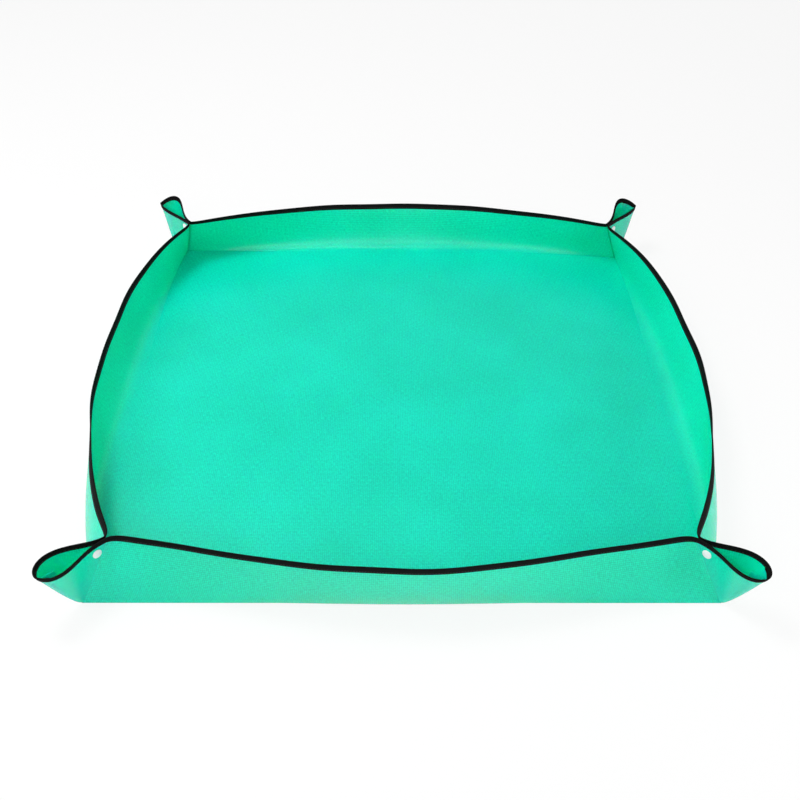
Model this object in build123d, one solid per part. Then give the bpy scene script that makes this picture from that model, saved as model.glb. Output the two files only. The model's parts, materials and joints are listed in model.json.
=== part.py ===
from build123d import *
import math
import os

# Potting soil tray: one square coated sheet whose four sides stand up as walls.
# Each corner is pinched outward into a loop and held by a press snap.
# Millimetres. The origin is the middle of the underside, +Z is up, the front is -Y.
# Every side is built as the front one and turned into place. Left and right are as seen facing that side.

# Driving sizes
SHEET_SIDE = 1000.0        # the whole sheet laid flat
WALL_WIDTH = 100.0         # sheet turned up on each side
SHEET_THICK = 0.5
PINCH_INSET = 37.0         # how far each pinched rim end leans in over the floor, along each side
LOOP_TIP_OUT = 36.0        # how far each loop's tip stands out past the floor corner, along each side
LOOP_HALF_WIDTH = 17.0     # pinch plane to the loop's side, at its fullest

# How far each wall bulges past its fold at mid-side: near the floor, two thirds up and at the rim
BULGE = {
    "front": (8.0, 23.0, 24.0),
    "right": (30.0, 33.0, 43.0),
    "back": (34.0, 34.0, 40.0),
    "left": (30.0, 33.0, 43.0),
}
# How those bulges die out towards the pinches: 1 as a plain arc, lower later, higher sooner
EASE = {
    "front": (1.0, 2.1, 1.8),
    "right": (0.0, 0.3, 0.8),
    "back": (0.0, 1.0, 1.0),
    "left": (0.0, 0.3, 0.8),
}
FOOT_SHARE = 0.65          # how much of the lowest bulge is lost to the wall's height

TAPE_WIDTH = 9.0           # binding tape on each face of the sheet
TAPE_THICK = 0.45

CAP_DIAMETER = 12.4
CAP_HEIGHT = 1.7
SNAP_DIAMETER = 10.7       # socket and stud flange
SOCKET_HEIGHT = 1.7
FLANGE_HEIGHT = 1.0
STUD_DIAMETER = 4.6
STUD_HEIGHT = 1.2
POST_DIAMETER = 2.2
SNAP_SHARE = 0.8           # the snap's place up the corner seam
SNAP_OUT = 7.5             # the snap's place outward from the seam

# Fits
FOLD_GAP = 0.8             # between a fold or seam and each panel beside it
RIDGE_GAP = 0.4            # between the pinch plane and each half of the loop's ridge
LAYER_GAP = 2.0            # between the pinch plane and each layer, at the rim
STUD_CLEARANCE = 0.3       # round the stud in its socket
STUD_DEPTH_GAP = 0.2       # between the stud's end and the socket's floor
POST_CLEARANCE = 0.05
SEAT_GAP = 0.5             # between a snap cap and the sheet under it

# Worked out
HALF_FLOOR = SHEET_SIDE / 2 - WALL_WIDTH
WALL_REACH = 0.97 * WALL_WIDTH               # straight from fold to rim; the bend takes the rest
SEAM_RISE = math.sqrt(WALL_REACH**2 - 2 * PINCH_INSET**2)
TAPE_START = 1 - TAPE_WIDTH / WALL_REACH     # shares of the way from fold to rim
SHEET_END = 1 - TAPE_THICK / WALL_REACH
LOOP_START = 0.05                            # the loop's panels start this share of the way up

# Points and directions at the front wall's right end
DIAGONAL = Vector(1, -1, 0).normalized()         # outward along the pinch plane
PINCH_NORMAL = Vector(-1, -1, 0).normalized()    # from the pinch plane towards the front wall
CORNER = Vector(HALF_FLOOR - 2 * FOLD_GAP, -HALF_FLOOR, SHEET_THICK)
SEAM_TOP = Vector(HALF_FLOOR - PINCH_INSET, PINCH_INSET - HALF_FLOOR, SHEET_THICK + SEAM_RISE)
PINCH_TOP = SEAM_TOP + PINCH_NORMAL * LAYER_GAP
LOOP_TIP = Vector(HALF_FLOOR + LOOP_TIP_OUT, -HALF_FLOOR - LOOP_TIP_OUT, SEAM_TOP.Z)
SNAP_CENTRE = CORNER + (SEAM_TOP - CORNER) * SNAP_SHARE + DIAGONAL * SNAP_OUT
ON_BASE = (Align.CENTER, Align.CENTER, Align.MIN)


def between(start, end, share):
    return start + (end - start) * share


def cut_row(points, share):
    """Control points of the two parts of a Bezier curve cut at a share of its run."""
    lower, upper = [], []
    while points:
        lower.append(points[0])
        upper.insert(0, points[-1])
        points = [between(a, b, share) for a, b in zip(points, points[1:])]
    return lower, upper


def stretch(net, start, end):
    """The part of a Bezier net between two shares of the way from fold to rim."""
    rows = [cut_row(row, end)[0] for row in net]
    return [cut_row(row, start / end)[1] for row in rows]


def across_wall(end, middle, ease):
    """Five control points across the front wall, from its left end over the middle to its right end."""
    swings = [0, 2 - ease, ease * 4 / 3, 2 - ease, 0]
    runs = [-1, -0.5, 0, 0.5, 1]
    points = [between(end, middle, swing) for swing in swings]
    return [Vector(end.X * run, point.Y, point.Z) for run, point in zip(runs, points)]


def wall_net(side):
    """Inner face of a wall built at the front: rows from fold to rim, one for each control point across."""
    low, upper, rim = BULGE[side]
    rise = WALL_REACH - FOOT_SHARE * low
    seam = PINCH_TOP - CORNER
    beside_seam = Vector(FOLD_GAP, 0, 0)
    ends = [
        CORNER + seam.normalized() * FOLD_GAP - beside_seam,
        CORNER + seam / 3 - beside_seam,
        CORNER + seam * 2 / 3 - beside_seam,
        PINCH_TOP - beside_seam,
    ]
    middles = [
        Vector(0, -HALF_FLOOR - FOLD_GAP, SHEET_THICK),
        Vector(0, -HALF_FLOOR - low, SHEET_THICK),
        Vector(0, -HALF_FLOOR - upper, SHEET_THICK + rise * 2 / 3),
        Vector(0, -HALF_FLOOR - rim, SHEET_THICK + rise),
    ]
    eases = [EASE[side][0], *EASE[side]]
    columns = [across_wall(end, middle, ease) for end, middle, ease in zip(ends, middles, eases)]
    return [list(row) for row in zip(*columns)]


def loop_net():
    """Inner face of the front wall's right loop half: rows from the corner to the loop's top edge."""
    beside_seam = DIAGONAL * FOLD_GAP
    shares = [0, 0.24, 0.47, 0.67, 1, 1]
    offsets = [LAYER_GAP] * 3 + [LAYER_GAP + 2 * LOOP_HALF_WIDTH, LOOP_HALF_WIDTH, RIDGE_GAP]
    top_edge = [
        between(SEAM_TOP + beside_seam, LOOP_TIP, share) + PINCH_NORMAL * offset
        for share, offset in zip(shares, offsets)
    ]
    apex = CORNER + beside_seam
    return [[between(apex, point, LOOP_START), point] for point in top_edge]


def thickened(net, thick):
    return Solid.thicken(Face.make_bezier_surface(net), thick)


def panel(net):
    return thickened(stretch(net, 0, SHEET_END), SHEET_THICK)


def tape(net):
    """Tape folded over the rim: a strip on both faces, with a slot where the sheet lies."""
    strip = stretch(net, TAPE_START, 1)
    folded = thickened(strip, SHEET_THICK + TAPE_THICK) + thickened(strip, -TAPE_THICK)
    return folded - thickened(stretch(net, TAPE_START / 2, SHEET_END), SHEET_THICK)


def on_snap(shape, height):
    """Places a turned shape on the snap's axis, at a height over the pinch plane."""
    return Plane(SNAP_CENTRE + PINCH_NORMAL * height, z_dir=PINCH_NORMAL) * shape


def disc(diameter, bottom, top):
    return on_snap(Cylinder(diameter / 2, top - bottom, align=ON_BASE), bottom)


# Heights of the snap's pieces over the pinch plane
SEAT = 0.75 * LAYER_GAP                              # back of the socket and of the stud's flange
SOCKET_FACE = SEAT - SOCKET_HEIGHT
FLANGE_FACE = SEAT - FLANGE_HEIGHT
STUD_END = FLANGE_FACE - STUD_HEIGHT
SOCKET_FLOOR = -STUD_END + STUD_DEPTH_GAP
CAP_SEAT = LAYER_GAP + SHEET_THICK + SEAT_GAP
STUD_POST_END = FLANGE_FACE - STUD_HEIGHT / 2


def post_hole(end):
    return disc(POST_DIAMETER + 2 * POST_CLEARANCE, end, CAP_SEAT)


def snap_cap(post_end):
    """Domed cap with the post that goes through the sheet."""
    crown = 0.65 * CAP_HEIGHT
    ball_radius = ((CAP_DIAMETER / 2) ** 2 + crown**2) / (2 * crown)
    ball = on_snap(Sphere(ball_radius), CAP_SEAT + CAP_HEIGHT - ball_radius)
    dome = disc(CAP_DIAMETER, CAP_SEAT, CAP_SEAT + CAP_HEIGHT) & ball
    return dome + disc(POST_DIAMETER, post_end, CAP_SEAT)


def snap_stud():
    flange = disc(SNAP_DIAMETER, FLANGE_FACE, SEAT)
    nose = disc(STUD_DIAMETER, STUD_END, FLANGE_FACE)
    return flange + nose - post_hole(STUD_POST_END)


def snap_socket():
    body = disc(SNAP_DIAMETER, SOCKET_FACE, SEAT)
    cavity = disc(STUD_DIAMETER + 2 * STUD_CLEARANCE, SOCKET_FACE, SOCKET_FLOOR)
    return body - cavity - post_hole(SOCKET_FLOOR)


def left_hand(shape):
    return mirror(shape, about=Plane.YZ)


def wall_pieces(side):
    """A wall and its binding tape, built at the front."""
    net = wall_net(side)
    return {"wall": panel(net), "wall_tape": tape(net)}


def corner_pieces():
    """The loop halves at both ends of the front wall, with their tapes and snap pieces."""
    net = loop_net()
    loop_panel = panel(net) - post_hole(0)
    loop_tape = tape(net)
    return {
        "loop_right": loop_panel,
        "loop_right_tape": loop_tape,
        "cap_right": snap_cap(STUD_POST_END),
        "stud": snap_stud(),
        "loop_left": left_hand(loop_panel),
        "loop_left_tape": left_hand(loop_tape),
        "cap_left": left_hand(snap_cap(SOCKET_FLOOR)),
        "socket": left_hand(snap_socket()),
    }


def floor_panel():
    side = 2 * (HALF_FLOOR - FOLD_GAP)
    return Box(side, side, SHEET_THICK, align=ON_BASE)


def save(shape, name):
    export_step(shape, f"parts/{name}.step")


os.makedirs("parts", exist_ok=True)
save(floor_panel(), "floor")
at_corners = corner_pieces()
for turn, side in enumerate(BULGE):
    for name, shape in {**wall_pieces(side), **at_corners}.items():
        save(Rot(0, 0, 90 * turn) * shape, f"{side}_{name}")
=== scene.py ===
import json
import math

import bmesh
import bpy
from mathutils import Matrix, Vector, noise


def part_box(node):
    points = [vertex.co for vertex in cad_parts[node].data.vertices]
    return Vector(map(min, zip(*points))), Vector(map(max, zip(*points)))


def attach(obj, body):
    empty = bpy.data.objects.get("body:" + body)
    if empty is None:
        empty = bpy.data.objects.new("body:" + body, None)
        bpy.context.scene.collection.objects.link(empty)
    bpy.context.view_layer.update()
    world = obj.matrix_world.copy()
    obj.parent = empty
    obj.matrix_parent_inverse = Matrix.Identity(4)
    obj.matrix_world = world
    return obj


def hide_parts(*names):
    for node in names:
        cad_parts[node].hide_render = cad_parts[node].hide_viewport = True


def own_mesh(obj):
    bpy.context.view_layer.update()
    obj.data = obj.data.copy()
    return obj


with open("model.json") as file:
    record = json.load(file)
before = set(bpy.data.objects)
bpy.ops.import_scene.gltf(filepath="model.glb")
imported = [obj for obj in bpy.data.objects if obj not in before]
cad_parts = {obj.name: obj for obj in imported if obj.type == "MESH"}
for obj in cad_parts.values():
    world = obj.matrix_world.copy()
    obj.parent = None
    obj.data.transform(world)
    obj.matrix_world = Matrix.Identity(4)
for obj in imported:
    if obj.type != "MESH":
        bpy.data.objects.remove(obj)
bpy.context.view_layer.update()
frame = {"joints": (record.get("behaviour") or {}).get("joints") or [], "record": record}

# Potting soil tray: a coated green sheet with a black binding, its corners pinched into loops by press snaps.
# Metres, in the frame's own axes. Every side is shaped as the front one and turned into place.

# Places read from the frame, at the front wall and the loop at its right end
joints = {joint["name"]: joint for joint in frame["joints"]}
couplings = {coupling["joint"]: coupling for coupling in frame["record"]["behaviour"]["couplings"]}
SIDES = ("front", "right", "back", "left")
MASTER_FOLD = "front_wall_fold"
FOLD = Vector(joints[MASTER_FOLD]["pos_m"])
FOLD_ANGLE = math.radians(joints[MASTER_FOLD]["range_deg"][1])
LOOP_ANGLE = FOLD_ANGLE * couplings["front_loop_right_fold"]["ratio"]
CORNER = Vector(joints["front_loop_right_fold"]["pos_m"])
SEAM_LINE = Vector(joints["front_loop_right_fold"]["axis"])
LOOP_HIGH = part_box("front_loop_right_tape")[1]

HALF_FLOOR = -FOLD.y
SHEET_THICK = FOLD.z
PINCH_TOP = CORNER + SEAM_LINE * (LOOP_HIGH.z - CORNER.z) / SEAM_LINE.z
REACH = (PINCH_TOP - CORNER).length                     # from fold to rim
DIAGONAL = Vector((1, -1, 0)).normalized()              # outward along the pinch plane
PINCH_NORMAL = Vector((-1, -1, 0)).normalized()         # from the pinch plane towards the front wall
UP = Vector((0, 0, 1))

# How far each wall bulges past its fold at mid-side: near the floor, two thirds up and at the rim
BULGE = {
    "front": (0.008, 0.022, 0.0225),
    "right": (0.030, 0.033, 0.0465),
    "back": (0.024, 0.029, 0.042),
    "left": (0.030, 0.032, 0.0435),
}
RIM_RISE = {"front": 0.092, "right": 0.0775, "back": 0.075, "left": 0.0775}
# How those bulges die out towards a pinch: 1 as a plain arc, lower later, higher sooner
FRONT_EASE = (1.0, 2.1, 1.8)
SIDE_FRONT_EASE = (-0.5, -0.1, 1.1)
SIDE_BACK_EASE = (0.5, 0.9, 0.55)
BACK_EASE = (0.0, 1.0, 1.0)
# The wall leaves the floor in a soft bend and then stands up
FOOT_OUT = 0.6                                          # shares of the bulge near the floor
HEEL_OUT = 1.1
HEEL_RISE = 0.003
UPPER_RISE = 0.68                                       # share of the rim's rise
# Where the feet of the back pinches stand: in from the side fold and in from the back fold
BACK_FEET = {"left": (0.018, 0.0), "right": (0.008, 0.018)}

# Loops. Near halves are those on the camera's side
NEAR_HALF_WIDTH = 0.016
BACK_NEAR_HALF_WIDTH = 0.006                            # pulled nearly straight
FAR_HALF_WIDTH = 0.020
FAR_HALF_LIFT = 0.001                                   # far halves stand higher than near halves
BACK_FAR_HALF_LIFT = 0.012
# Control points of a half's top edge from seam to tip: shares of the way, of the width and of the lift
EDGE_SHARES = (0, 0.24, 0.47, 0.67, 1, 1)
NEAR_SWINGS = (0, 0, 0, 2, 1, 0)
FAR_SWINGS = (0, 0, 1, 1.8, 0.9, 0)
FAR_RISES = (0, 0, 0.5, 1, 1, 0)
BACK_FAR_SWINGS = (0, 0, 0.2, 1.9, 1.5, 0)
BACK_FAR_RISES = (0, 0, 0.3, 1.2, 1, 0)
# The tips: out past the floor corner along each side, up from the pinch top, and off the pinch plane
FRONT_TIP = (0.0315, 0.0025, 0.0035)
BACK_TIP = (0.023, 0.004, 0.001)
FOOT_SPREAD = 0.010                                     # how far the ridge runs out before it turns up
FOOT_LIFT = 0.004
LAP_SHARE = 0.2                                         # right halves run on inside left halves by this share
LAP_ONSET = 1 / 12                                      # share over which the lap reaches its depth
SHEET_LAP_DEPTH = 0.0006
TAPE_LAP_DEPTH = 0.0015
HOLLOW_MIDDLE = 0.55                                    # the middle of the loop's hollow, as a share along
LAYER_LIFT = 0.0006                                     # once flat, from each layer of a corner to the next
# Cloth gathered inside each loop's tip, and the flattening that would spread it over the corner
GATHER_WIDTH = 0.020
BACK_GATHER_WIDTH = 0.032
GATHER_BOTTOM = 0.1                                     # shares of the way up to the rim
GATHER_TOP = 0.95
GATHER_INSET = 0.0015                                   # in from the ridge
GATHER_OFFSET = 0.0006                                  # from the pinch plane
GATHER_OVERLAP = 0.0015                                 # past the diagonal, once flat
HALVINGS = 40                                           # in the search for the gathered cloth's flattening
OTHER_HALF = {(side, "right"): (SIDES[(number + 1) % 4], "left") for number, side in enumerate(SIDES)}
OTHER_HALF |= {left: right for right, left in OTHER_HALF.items()}

# Sizes of the cloth's finish
TAPE_WIDTH = 0.0078
TAPE_THICK = 0.0018                                     # both tape layers with the sheet between them
TAPE_ROUNDING = 0.0004
THREAD_PITCH = 0.0026                                   # of the sheet's weave
STITCH_LENGTH = 0.0026
STITCH_PITCH = 0.0038
STITCH_WIDTH = 0.0006
STITCH_THICK = 0.0022
STITCH_INSET = 0.0020                                   # from the tape's inner edge
RIPPLE = 0.0010                                         # unevenness of the rim
RIPPLE_WAVES = ((1.0, 9, 2), (0.6, 17, 1))              # each wave's share, rate and shift from side to side
FLOOR_SWELL = 0.0008                                    # unevenness of the floor
SWELL_RATE = 7
# How sharply a wall turns into the pinch before the seam, and a loop half after it
WALL_TURN = 0.6
BACK_WALL_TURN = 0.3
WALL_TURN_WIDTH = 0.016
LOOP_TURN = 0.10
LOOP_TURN_WIDTH = 0.007
LEAST_TURN = 0.02                                       # share up below which the turn gets no narrower

# Numbers of cells in the meshes
FLOOR_CELLS = 120
WALL_COLUMNS = 150
WALL_ROWS = 40
LOOP_COLUMNS = 60
LOOP_ROWS = 30
TAPE_ROWS = 6
GATHER_COLUMNS = 8
GATHER_ROWS = 16
COLUMN_SQUEEZE = 0.9                                    # how much closer columns are towards the ends
TURNED_STEPS = 32

TAPE_START = 1 - TAPE_WIDTH / REACH
SHEET_END = 1 - TAPE_THICK / 2 / REACH


# Shapes of the cloth

def bezier(points, share):
    while len(points) > 1:
        points = [start.lerp(end, share) for start, end in zip(points, points[1:])]
    return points[0]


def turning(side):
    axis = joints[f"{side}_wall_fold"]["axis"]
    return Matrix.Rotation(math.atan2(axis[1], axis[0]), 4, "Z")


def seam_rounding(turn, width, run, up):
    """How far the cloth swings at a distance from the seam, to turn into the pinch without a crease."""
    return turn * run * math.exp(-run / (width * max(up, LEAST_TURN)))


def eased(across, ease):
    return 1 - ease * across**2 + (ease - 1) * across**4


def is_side(side):
    return side in ("right", "left")


def is_near(side, hand):
    """Whether a wall's end lies on the camera's side of its pinch."""
    return side == "front" or side == hand


def at_back(side, hand):
    return side == "back" or side == hand


def seam_foot(side, hand):
    """The foot of the front-turned wall's right pinch."""
    if not at_back(side, hand):
        return CORNER
    if is_side(side):
        from_side, from_back = BACK_FEET[side]
        return CORNER + Vector((-from_back, from_side, 0))
    from_side, from_back = BACK_FEET["left" if hand == "right" else "right"]
    return CORNER + Vector((-from_side, from_back, 0))


def wall_eases(side, hand):
    if is_side(side):
        return SIDE_BACK_EASE if at_back(side, hand) else SIDE_FRONT_EASE
    return FRONT_EASE if side == "front" else BACK_EASE


def wall_surface(side):
    """The front-turned wall as a function of the share across, -1 to 1, and the share up, 0 to 1."""
    low, upper, rim = BULGE[side]
    rise = RIM_RISE[side]
    foot, heel = (FOOT_OUT * low, 0), (HEEL_OUT * low, HEEL_RISE)
    outline = ((0, 0), foot, heel, (upper, UPPER_RISE * rise), (rim, rise))
    middles = [FOLD + Vector((0, -out, height)) for out, height in outline]
    phase = SIDES.index(side)
    turn = BACK_WALL_TURN if side == "back" else WALL_TURN

    def point(across, up):
        hand = "right" if across > 0 else "left"
        ends = [seam_foot(side, hand).lerp(PINCH_TOP, step / 4) for step in range(5)]
        low_ease, upper_ease, rim_ease = wall_eases(side, hand)
        eases = (0, low_ease, low_ease, upper_ease, rim_ease)
        controls = [end.lerp(middle, eased(across, ease)) for end, middle, ease in zip(ends, middles, eases)]
        place = bezier(controls, up)
        end_x = ends[0].lerp(ends[-1], up).x
        place.x = across * end_x
        waves = sum(share * math.sin(rate * across + shift * phase) for share, rate, shift in RIPPLE_WAVES)
        place.y -= RIPPLE * up**2 * (1 - across**2) * waves
        place.y += seam_rounding(turn, WALL_TURN_WIDTH, (1 - abs(across)) * end_x, up)
        return place

    return point


def half_edge(side, hand):
    """How far a loop half's edge swings out from the pinch plane and rises, at its control points."""
    if is_near(side, hand):
        width = BACK_NEAR_HALF_WIDTH if at_back(side, hand) else NEAR_HALF_WIDTH
        swings, lift, rises = NEAR_SWINGS, 0, FAR_RISES
    elif at_back(side, hand):
        width, lift = FAR_HALF_WIDTH, BACK_FAR_HALF_LIFT
        swings, rises = BACK_FAR_SWINGS, BACK_FAR_RISES
    else:
        width, lift = FAR_HALF_WIDTH, FAR_HALF_LIFT
        swings, rises = FAR_SWINGS, FAR_RISES
    return [(width * swing, lift * rise) for swing, rise in zip(swings, rises)]


def loop_tip(side, hand):
    """The tip of a front-turned loop, a little off the pinch plane, away from the camera."""
    out, lift, swing = BACK_TIP if at_back(side, hand) else FRONT_TIP
    tip = Vector((HALF_FLOOR + out, -HALF_FLOOR - out, PINCH_TOP.z + lift))
    return tip - PINCH_NORMAL * (swing if is_near(side, hand) else -swing)


def loop_half(side, hand):
    """A front-turned right loop half as a function of the share along, from seam to tip, and the share up."""
    foot = seam_foot(side, hand)
    tip = loop_tip(side, hand)
    edge = [
        PINCH_TOP.lerp(tip, share) + PINCH_NORMAL * swing + UP * lift
        for share, (swing, lift) in zip(EDGE_SHARES, half_edge(side, hand))
    ]
    run = (tip - PINCH_TOP).length
    ridge_foot = DIAGONAL * CORNER.dot(DIAGONAL) + UP * CORNER.z

    def point(along, up):
        start = foot.lerp(ridge_foot, along)
        turn = start + along * (DIAGONAL * FOOT_SPREAD + UP * FOOT_LIFT)
        place = bezier([start, turn, bezier(edge, along)], math.sqrt(up))
        return place - PINCH_NORMAL * seam_rounding(LOOP_TURN, LOOP_TURN_WIDTH, along * run * up, up)

    return point


def across_pinch(point):
    return point - 2 * PINCH_NORMAL * point.dot(PINCH_NORMAL)


def loop_surface(side, hand, lap_depth):
    """A loop half that runs on past the ridge, just inside the other half."""
    half = loop_half(side, hand)
    other = loop_half(*OTHER_HALF[side, hand])

    def point(along, up):
        if along <= 1:
            return half(along, up)
        place = across_pinch(other(2 - along, up))
        middle = across_pinch(other(HOLLOW_MIDDLE, up))
        middle -= PINCH_NORMAL * middle.dot(PINCH_NORMAL)
        inward = (middle - place).normalized()
        return place + inward * lap_depth * min(1, (along - 1) / LAP_ONSET)

    return point


def gather_surface(side, hand):
    """Gathered cloth by the pinch plane, as a function of the share in from the ridge and the share up."""
    half = loop_half(side, hand)
    width = BACK_GATHER_WIDTH if at_back(side, hand) else GATHER_WIDTH

    def point(inward, up):
        place = half(1, up) - DIAGONAL * (GATHER_INSET + up * width * inward)
        return place + PINCH_NORMAL * (GATHER_OFFSET - place.dot(PINCH_NORMAL))

    return point


def mirrored(point):
    return Vector((-point.x, point.y, point.z))


# Meshes

def finish_mesh(name, mesh, material):
    data = bpy.data.meshes.new(name)
    mesh.to_mesh(data)
    mesh.free()
    data.materials.append(material)
    for face in data.polygons:
        face.use_smooth = True
    piece = bpy.data.objects.new(name, data)
    bpy.context.scene.collection.objects.link(piece)
    return piece


def cloth(name, surface, columns, rows, low, high, start, end, material, measure):
    """A one-layer grid laid on a surface, with its UV in metres along the cloth."""
    mesh = bmesh.new()
    uv_layer = mesh.loops.layers.uv.new("cloth")
    bmesh.ops.create_grid(mesh, x_segments=columns, y_segments=rows, size=1)
    for face in mesh.faces:
        for corner in face.loops:
            across, up = grid_share(corner.vert.co, low, high, start, end)
            corner[uv_layer].uv = (across * measure, up * REACH)
    for vert in mesh.verts:
        vert.co = surface(*grid_share(vert.co, low, high, start, end))
    return finish_mesh(name, mesh, material)


def grid_share(place, low, high, start, end):
    """Where a grid point lies on the cloth, as a share across and a share up."""
    squeeze = COLUMN_SQUEEZE * math.pi / 2
    across = math.sin(place.x * squeeze) / math.sin(squeeze)
    return start + (end - start) * (across + 1) / 2, low + (high - low) * (place.y + 1) / 2


def thicken(piece, thickness, rounding=0):
    solidify = piece.modifiers.new("thickness", "SOLIDIFY")
    solidify.thickness = thickness
    solidify.offset = 0
    if rounding:
        bevel = piece.modifiers.new("rounding", "BEVEL")
        bevel.width = rounding
        bevel.segments = 2
        bevel.limit_method = "ANGLE"
    normals = piece.modifiers.new("normals", "WEIGHTED_NORMAL")
    normals.keep_sharp = False
    return piece


def stitches(name, surface, start, end, measure, material):
    """A row of short threads along the tape, showing on both faces."""
    row = TAPE_START + STITCH_INSET / REACH
    count = int((end - start) * measure / STITCH_PITCH)
    mesh = bmesh.new()
    for number in range(count):
        middle = start + (end - start) * (number + 0.5) / count
        made = bmesh.ops.create_grid(mesh, x_segments=1, y_segments=1, size=1)
        for vert in made["verts"]:
            across = middle + vert.co.x * STITCH_LENGTH / 2 / measure
            up = row + vert.co.y * STITCH_WIDTH / 2 / REACH
            vert.co = surface(across, up)
    return thicken(finish_mesh(name, mesh, material), STITCH_THICK, STITCH_WIDTH / 4)


# Materials

BANDS_RATE = 20                                         # how fast a wave texture of scale 1 runs, in radians
NOISE_DETAIL = 2
STREAK_ROUGHNESS = 0.6
THREAD_ACROSS = 0.5                                     # size of the threads' streaks, in pitches
THREAD_ALONG = 2
WEAVE_SHARE = 0.25                                      # of the weave in the sheet's tone
CLOUD_SHARE = 0.2                                       # of clouds in it
CLOUD_SCALE = 7
RELIEF_SHARE = 0.7                                      # of the streaks in its relief
TAPE_PITCH = 0.0009                                     # of the tape's weave
FUZZ_SCALE = 900                                        # of the thread's tone
SNAP_CLOUD_SCALE = 250


def new_material(name):
    material = bpy.data.materials.new(name)
    material.use_nodes = True
    return material.node_tree, material.node_tree.nodes["Principled BSDF"], material


def add(tree, kind, **values):
    node = tree.nodes.new(kind)
    for name, value in values.items():
        setattr(node, name, value)
    return node


def threads(tree, coordinates, direction, pitch):
    wave = add(tree, "ShaderNodeTexWave", bands_direction=direction)
    wave.inputs["Scale"].default_value = 2 * math.pi / BANDS_RATE / pitch
    tree.links.new(coordinates, wave.inputs["Vector"])
    return wave.outputs["Fac"]


def mixed(tree, share, first, second):
    mix = add(tree, "ShaderNodeMix", data_type="FLOAT")
    tree.links.new(share, mix.inputs["Factor"])
    tree.links.new(first, mix.inputs[2])
    tree.links.new(second, mix.inputs[3])
    return mix.outputs[0]


def weave_height(tree, pitch):
    """Plain weave: warp over weft in every other cell."""
    uv = add(tree, "ShaderNodeUVMap", uv_map="cloth")
    checker = add(tree, "ShaderNodeTexChecker")
    checker.inputs["Scale"].default_value = 1 / pitch
    tree.links.new(uv.outputs["UV"], checker.inputs["Vector"])
    warp = threads(tree, uv.outputs["UV"], "X", pitch)
    weft = threads(tree, uv.outputs["UV"], "Y", pitch)
    return mixed(tree, checker.outputs["Fac"], warp, weft)


def colour_ramp(tree, share, stops):
    ramp = add(tree, "ShaderNodeValToRGB")
    ramp.color_ramp.elements[0].position, ramp.color_ramp.elements[0].color = stops[0]
    ramp.color_ramp.elements[1].position, ramp.color_ramp.elements[1].color = stops[1]
    tree.links.new(share, ramp.inputs["Fac"])
    return ramp.outputs["Color"]


def noise_share(tree, scale):
    place = add(tree, "ShaderNodeTexCoord")
    texture = add(tree, "ShaderNodeTexNoise")
    texture.inputs["Scale"].default_value = scale
    texture.inputs["Detail"].default_value = NOISE_DETAIL
    tree.links.new(place.outputs["Object"], texture.inputs["Vector"])
    return texture.outputs["Fac"]


def bumped(tree, shader, height, distance, strength):
    bump = add(tree, "ShaderNodeBump")
    bump.inputs["Distance"].default_value = distance
    bump.inputs["Strength"].default_value = strength
    tree.links.new(height, bump.inputs["Height"])
    tree.links.new(bump.outputs["Normal"], shader.inputs["Normal"])


def thread_tones(tree, across, along):
    """Threads that differ in tone, each streaked along its length."""
    uv = add(tree, "ShaderNodeUVMap", uv_map="cloth")
    stretch = add(tree, "ShaderNodeMapping")
    stretch.inputs["Scale"].default_value = (1 / across, 1 / along, 1)
    streaks = add(tree, "ShaderNodeTexNoise", noise_dimensions="2D")
    streaks.inputs["Scale"].default_value = 1
    streaks.inputs["Detail"].default_value = NOISE_DETAIL
    streaks.inputs["Roughness"].default_value = STREAK_ROUGHNESS
    tree.links.new(uv.outputs["UV"], stretch.inputs["Vector"])
    tree.links.new(stretch.outputs["Vector"], streaks.inputs["Vector"])
    return streaks.outputs["Fac"]


def blended(tree, first, second, share):
    """Two values mixed by a fixed share of the second."""
    mix = add(tree, "ShaderNodeMix", data_type="FLOAT")
    mix.inputs["Factor"].default_value = share
    tree.links.new(first, mix.inputs[2])
    tree.links.new(second, mix.inputs[3])
    return mix.outputs[0]


def sheet_material():
    tree, shader, material = new_material("coated_sheet")
    weave = weave_height(tree, THREAD_PITCH)
    warp = thread_tones(tree, THREAD_ACROSS * THREAD_PITCH, THREAD_ALONG * THREAD_PITCH)
    weft = thread_tones(tree, THREAD_ALONG * THREAD_PITCH, THREAD_ACROSS * THREAD_PITCH)
    threads_tone = blended(tree, blended(tree, warp, weft, 0.5), weave, WEAVE_SHARE)
    tone = blended(tree, threads_tone, noise_share(tree, CLOUD_SCALE), CLOUD_SHARE)
    green = colour_ramp(tree, tone, [(0.36, (0.0005, 0.56, 0.37, 1)), (0.64, (0.002, 0.88, 0.62, 1))])
    tree.links.new(green, shader.inputs["Base Color"])
    shader.inputs["Roughness"].default_value = 0.24
    shader.inputs["Specular IOR Level"].default_value = 0.35
    shader.inputs["Subsurface Weight"].default_value = 0.8
    shader.inputs["Subsurface Radius"].default_value = (0.1, 1, 0.5)
    shader.inputs["Subsurface Scale"].default_value = 0.0015
    bumped(tree, shader, blended(tree, weave, threads_tone, RELIEF_SHARE), distance=0.0009, strength=0.25)
    return material


def tape_material():
    tree, shader, material = new_material("black_binding")
    height = weave_height(tree, TAPE_PITCH)
    dark = colour_ramp(tree, height, [(0.0, (0.002, 0.002, 0.002, 1)), (1.0, (0.007, 0.007, 0.007, 1))])
    tree.links.new(dark, shader.inputs["Base Color"])
    shader.inputs["Roughness"].default_value = 0.75
    shader.inputs["Specular IOR Level"].default_value = 0.06
    bumped(tree, shader, height, distance=0.0002, strength=0.5)
    return material


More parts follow.
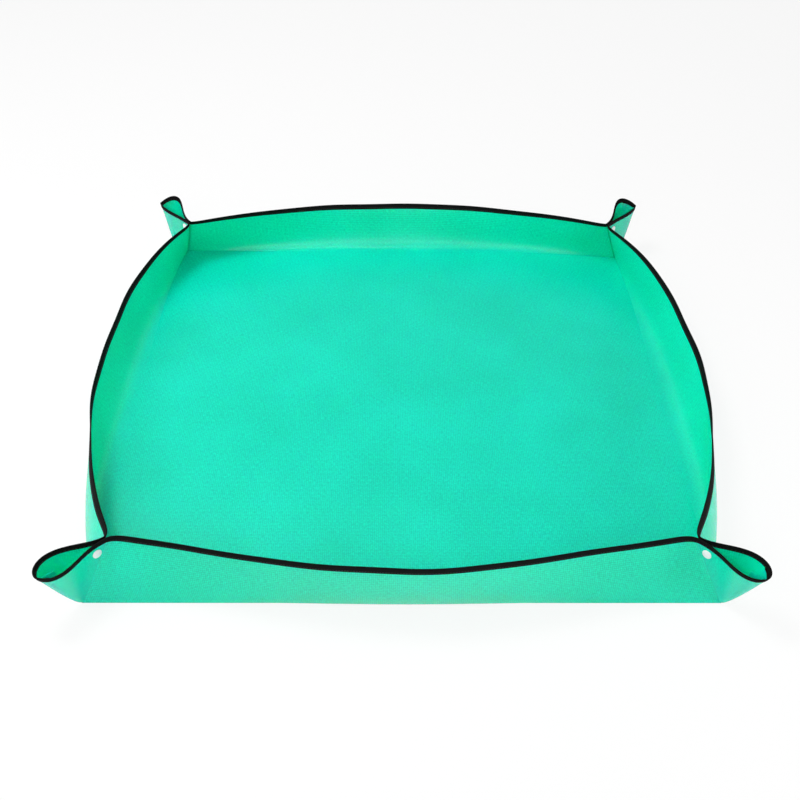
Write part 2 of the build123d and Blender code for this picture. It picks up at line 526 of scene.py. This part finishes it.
def thread_material():
    tree, shader, material = new_material("black_thread")
    fuzz = noise_share(tree, FUZZ_SCALE)
    dark = colour_ramp(tree, fuzz, [(0.3, (0.004, 0.004, 0.004, 1)), (0.7, (0.012, 0.012, 0.012, 1))])
    tree.links.new(dark, shader.inputs["Base Color"])
    shader.inputs["Roughness"].default_value = 0.5
    return material


def snap_material():
    tree, shader, material = new_material("white_snap")
    cloud = noise_share(tree, SNAP_CLOUD_SCALE)
    white = colour_ramp(tree, cloud, [(0.3, (0.86, 0.88, 0.88, 1)), (0.7, (0.91, 0.93, 0.93, 1))])
    tree.links.new(white, shader.inputs["Base Color"])
    shader.inputs["Roughness"].default_value = 0.28
    bumped(tree, shader, cloud, distance=0.0001, strength=0.1)
    return material


SHEET = sheet_material()
TAPE = tape_material()
THREAD = thread_material()
SNAP = snap_material()


# Putting the pieces on their bodies

def turn_into_place(piece, side, hand="right"):
    if hand == "left":
        piece.data.transform(Matrix.Scale(-1, 4, (1, 0, 0)))
        piece.data.flip_normals()
    piece.data.transform(turning(side))
    return piece


def mount(piece, body, node):
    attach(piece, body)
    if node:
        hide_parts(node)
    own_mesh(piece)
    return piece


def floor_sheet():
    """The tray's floor, with a faint swell that dies out at the folds."""
    mesh = bmesh.new()
    uv_layer = mesh.loops.layers.uv.new("cloth")
    bmesh.ops.create_grid(mesh, x_segments=FLOOR_CELLS, y_segments=FLOOR_CELLS, size=HALF_FLOOR)
    for vert in mesh.verts:
        inside = (1 - (vert.co.x / HALF_FLOOR) ** 2) * (1 - (vert.co.y / HALF_FLOOR) ** 2)
        swell = 0.5 + 0.5 * noise.noise(vert.co * SWELL_RATE)
        vert.co.z = FOLD.z + FLOOR_SWELL * swell * inside
    for face in mesh.faces:
        for corner in face.loops:
            corner[uv_layer].uv = corner.vert.co.xy
    piece = thicken(finish_mesh("floor_sheet", mesh, SHEET), SHEET_THICK)
    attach(piece, "floor_body")
    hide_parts("floor")
    return piece


def wall(side):
    surface = wall_surface(side)
    body = f"{side}_wall_body"
    half = CORNER.x
    sheet = cloth(f"{side}_wall_sheet", surface, WALL_COLUMNS, WALL_ROWS, 0, SHEET_END, -1, 1, SHEET, half)
    tape = cloth(f"{side}_wall_binding", surface, WALL_COLUMNS, TAPE_ROWS, TAPE_START, 1, -1, 1, TAPE, half)
    thread = stitches(f"{side}_wall_stitches", surface, -1, 1, half, THREAD)
    thicken(sheet, SHEET_THICK)
    thicken(tape, TAPE_THICK, TAPE_ROUNDING)
    nodes = ("wall", "wall_tape", None)
    for piece, node, slot in zip((sheet, tape, thread), nodes, ("sheet", "binding", "binding")):
        turn_into_place(piece, side)
        mount(piece, body, node and f"{side}_{node}")


def before_flat(direction):
    """The direction at rest, on a front-turned right loop half, of what points along direction once flat."""
    flat_turn = Matrix.Rotation(FOLD_ANGLE, 3, "X") @ Matrix.Rotation(LOOP_ANGLE, 3, SEAM_LINE)
    return flat_turn.transposed() @ direction


def spreading(edge, lift):
    """The slanted flattening that brings the edge of front-turned gathered cloth to the corner's diagonal.

    Its axis leans from upright. At any slant the cloth by the pinch plane comes to lie flat, and the more
    the axis leans, the further out the cloth is carried. The slant that fits is found by halving."""
    upright = before_flat(UP)
    over_diagonal = before_flat(Vector((1, 1, 0)).normalized())
    goal = (HALF_FLOOR - CORNER.x) / math.sqrt(2) + GATHER_OVERLAP
    lean = -upright.dot(PINCH_NORMAL)
    low, high = 0, lean
    for _ in range(HALVINGS):
        slant = (low + high) / 2
        axis = upright + PINCH_NORMAL * slant
        moved_share = axis.length_squared / (1 - slant * lean)
        axis.normalize()
        depth = upright.dot(CORNER) + lift + slant * GATHER_OFFSET
        anchor = axis * depth / (moved_share * upright.dot(axis))
        moved = edge - axis * moved_share * (edge - anchor).dot(axis)
        if (moved - CORNER).dot(over_diagonal) < goal:
            low = slant
        else:
            high = slant
    return axis, anchor, 1 - moved_share


def gathered(side, hand):
    """The cloth gathered inside a loop's tip, on its own half's side of the pinch plane."""
    name = f"{side}_loop_{hand}"
    surface = gather_surface(side, hand)
    rows = (GATHER_BOTTOM, GATHER_TOP)
    piece = cloth(f"{name}_gather", surface, GATHER_COLUMNS, GATHER_ROWS, *rows, 0, 1, SHEET, GATHER_WIDTH)
    thicken(piece, SHEET_THICK)
    turn_into_place(piece, side, hand)
    axis, anchor, keep = spreading(surface(0, GATHER_TOP), LAYER_LIFT if hand == "right" else 0)
    if hand == "left":
        axis, anchor = mirrored(axis), mirrored(anchor)
    return mount(piece, f"{name}_body", None)


def loop(side, hand):
    body = f"{side}_loop_{hand}_body"
    name = f"{side}_loop_{hand}"
    end = 1 + LAP_SHARE if hand == "right" else 1
    run = (loop_tip(side, hand) - PINCH_TOP).length
    sheet_surface = loop_surface(side, hand, SHEET_LAP_DEPTH)
    tape_surface = loop_surface(side, hand, TAPE_LAP_DEPTH)
    sheet = cloth(f"{name}_sheet", sheet_surface, LOOP_COLUMNS, LOOP_ROWS, 0, SHEET_END, 0, end, SHEET, run)
    tape = cloth(f"{name}_binding", tape_surface, LOOP_COLUMNS, TAPE_ROWS, TAPE_START, 1, 0, end, TAPE, run)
    thread = stitches(f"{name}_stitches", tape_surface, 0, 1, run, THREAD)
    thicken(sheet, SHEET_THICK)
    thicken(tape, TAPE_THICK, TAPE_ROUNDING)
    nodes = (f"loop_{hand}", f"loop_{hand}_tape", None)
    for piece, node, slot in zip((sheet, tape, thread), nodes, ("sheet", "binding", "binding")):
        turn_into_place(piece, side, hand)
        mount(piece, body, node and f"{side}_{node}")
    snaps = [snap_cap(side, hand), snap_half(side, hand)]
    gathered(side, hand)


# Press snaps. Half outlines are radius by height in millimetres, the height from the cloth's face

SEAT_STEPS = 400                                        # along a loop half, in the search for a snap's seat
CAP_OUTLINE = (
    (0, 1.75), (2.6, 1.68), (4.5, 1.42), (5.6, 1.02), (6.15, 0.55), (6.2, 0.2), (6.05, 0),
    (1.1, 0), (1.1, -1.2), (0, -1.2),
)
STUD_OUTLINE = (
    (1.15, 0), (5.2, 0), (5.35, -0.15), (5.35, -0.85), (5.1, -1.1), (2.5, -1.2),
    (2.1, -1.5), (2.3, -1.95), (2.2, -2.3), (1.8, -2.45), (0, -2.45),
)
SOCKET_OUTLINE = (
    (1.15, 0), (5.2, 0), (5.35, -0.15), (5.35, -1.5), (5.1, -1.85), (4.4, -1.95), (3.2, -1.95),
    (2.75, -1.8), (2.6, -1.5), (2.6, -0.9), (0, -0.9),
)


def turned_profile(points):
    """A round piece from its half outline, radius by height in millimetres."""
    mesh = bmesh.new()
    chain = [mesh.verts.new((radius / 1000, 0, height / 1000)) for radius, height in points]
    edges = [mesh.edges.new(pair) for pair in zip(chain, chain[1:])]
    bmesh.ops.spin(
        mesh,
        geom=chain + edges,
        cent=(0, 0, 0),
        axis=(0, 0, 1),
        angle=2 * math.pi,
        steps=TURNED_STEPS,
        use_merge=True,
    )
    bmesh.ops.remove_doubles(mesh, verts=mesh.verts, dist=1e-6)
    bmesh.ops.recalc_face_normals(mesh, faces=mesh.faces)
    return mesh


def snap_centre(side, hand, node, over_cloth):
    """The place on a CAD node's axis at a height over the cloth's middle, front-turned and right-handed."""
    low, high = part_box(f"{side}_{node}")
    centre = turning(side).transposed() @ ((low + high) / 2)
    if hand == "left":
        centre = mirrored(centre)
    half = loop_half(side, hand)
    up = (centre.z - CORNER.z) / (PINCH_TOP.z - CORNER.z)
    places = [half(step / SEAT_STEPS, up) for step in range(SEAT_STEPS // 4)]
    cloth_place = min(places, key=lambda place: abs((place - centre).dot(DIAGONAL)))
    return centre + PINCH_NORMAL * (over_cloth + (cloth_place - centre).dot(PINCH_NORMAL))


def snap_piece(name, side, hand, node, points, over_cloth):
    """Puts a round piece on its CAD node's axis, its own zero at a height over the cloth's middle."""
    centre = snap_centre(side, hand, node, over_cloth)
    facing = PINCH_NORMAL.to_track_quat("Z", "Y").to_matrix().to_4x4()
    piece = finish_mesh(name, turned_profile(points), SNAP)
    piece.data.transform(Matrix.Translation(centre) @ facing)
    turn_into_place(piece, side, hand)
    centre = turning(side) @ (mirrored(centre) if hand == "left" else centre)
    return mount(piece, f"{side}_loop_{hand}_body", f"{side}_{node}")


def snap_cap(side, hand):
    return snap_piece(f"{side}_snap_cap_{hand}", side, hand, f"cap_{hand}", CAP_OUTLINE, SHEET_THICK / 2)


def snap_half(side, hand):
    """The stud on a right half, or the socket on a left half."""
    kind, outline = ("stud", STUD_OUTLINE) if hand == "right" else ("socket", SOCKET_OUTLINE)
    return snap_piece(f"{side}_snap_{kind}", side, hand, kind, outline, -SHEET_THICK / 2)


floor_sheet()
for side in SIDES:
    wall(side)
    loop(side, "right")
    loop(side, "left")


# Stage, light and camera

SWEEP_START = 5.0                                       # where the ground starts to bend up
SWEEP_FLAT = 0.9                                        # share of that way with a ring to keep it flat
SWEEP_BEND = 3.0
SWEEP_STEPS = 12
WHITE_SHARE = 0.85                                      # of plain white in the ground, where it is seen
HORIZON = 0.10                                          # grey levels of the surroundings
ZENITH = 0.48
# Each lamp's place, size and power. All face the middle of the tray
LAMPS = {
    "left_light": ((-1.8, -0.2, 1.3), 1.2, 11),
    "front_light": ((-0.5, -2.2, 1.9), 1.2, 23),
    "top_light": ((-0.8, 0.3, 2.0), 0.7, 22),
    "right_light": ((1.3, -0.6, 0.45), 0.6, 4.5),
}


def white_ground():
    """Ground that sweeps up into a backdrop, nearly white where it is seen, with the tray's shadow kept."""
    turns = [math.pi / 2 * step / SWEEP_STEPS for step in range(SWEEP_STEPS + 1)]
    sweep = [(SWEEP_START + SWEEP_BEND * math.sin(turn), SWEEP_BEND * (1 - math.cos(turn))) for turn in turns]
    outline = [(0, 0), (SWEEP_FLAT * SWEEP_START, 0), *sweep]
    mesh = turned_profile([(radius * 1000, height * 1000) for radius, height in outline])
    tree, shader, material = new_material("white_ground")
    shader.inputs["Base Color"].default_value = (0.9, 0.9, 0.9, 1)
    shader.inputs["Roughness"].default_value = 0.9
    white = add(tree, "ShaderNodeEmission")
    light_path = add(tree, "ShaderNodeLightPath")
    mirrored_ray = add(tree, "ShaderNodeMath", operation="ADD")
    seen_ray = add(tree, "ShaderNodeMath", operation="ADD", use_clamp=True)
    share = add(tree, "ShaderNodeMath", operation="MULTIPLY")
    share.inputs[1].default_value = WHITE_SHARE
    mix = add(tree, "ShaderNodeMixShader")
    tree.links.new(light_path.outputs["Is Glossy Ray"], mirrored_ray.inputs[0])
    tree.links.new(light_path.outputs["Is Transmission Ray"], mirrored_ray.inputs[1])
    tree.links.new(light_path.outputs["Is Camera Ray"], seen_ray.inputs[0])
    tree.links.new(mirrored_ray.outputs[0], seen_ray.inputs[1])
    tree.links.new(seen_ray.outputs[0], share.inputs[0])
    tree.links.new(share.outputs[0], mix.inputs["Fac"])
    tree.links.new(shader.outputs["BSDF"], mix.inputs[1])
    tree.links.new(white.outputs["Emission"], mix.inputs[2])
    tree.links.new(mix.outputs["Shader"], tree.nodes["Material Output"].inputs["Surface"])
    finish_mesh("ground", mesh, material)


def lamp(name, place, size, power):
    light = bpy.data.lights.new(name, "AREA")
    light.size = size
    light.energy = power
    holder = bpy.data.objects.new(name, light)
    holder.location = place
    holder.rotation_euler = (-Vector(place)).to_track_quat("-Z", "Y").to_euler()
    bpy.context.scene.collection.objects.link(holder)


def studio_light():
    world = bpy.data.worlds.new("studio")
    world.use_nodes = True
    bpy.context.scene.world = world
    tree = world.node_tree
    direction = add(tree, "ShaderNodeTexCoord")
    height = add(tree, "ShaderNodeSeparateXYZ")
    greys = [(0.0, (HORIZON, HORIZON, HORIZON, 1)), (1.0, (ZENITH, ZENITH, ZENITH, 1))]
    ceiling = colour_ramp(tree, height.outputs["Z"], greys)
    tree.links.new(direction.outputs["Generated"], height.inputs["Vector"])
    tree.links.new(ceiling, tree.nodes["Background"].inputs["Color"])
    for name, (place, size, power) in LAMPS.items():
        lamp(name, place, size, power)


def camera():
    """Placed and aimed by a fit to the photograph's corners and rims, in metres and radians."""
    place = (-0.02128, -1.24102, 1.06570)
    pitch, yaw, roll = 0.71418, -0.01702, -0.01396
    focal_pixels, image_pixels = 1065.3, 800
    lens = bpy.data.cameras.new("camera")
    lens.sensor_width = 36
    lens.lens = focal_pixels * lens.sensor_width / image_pixels
    holder = bpy.data.objects.new("camera", lens)
    holder.location = place
    aim = Matrix.Rotation(yaw, 3, "Z") @ Matrix.Rotation(math.pi / 2 - pitch, 3, "X")
    aim = aim @ Matrix.Rotation(-roll, 3, "Z")
    holder.rotation_euler = aim.to_euler()
    bpy.context.scene.collection.objects.link(holder)
    bpy.context.scene.camera = holder


white_ground()
studio_light()
camera()
bpy.context.scene.view_settings.view_transform = "Standard"
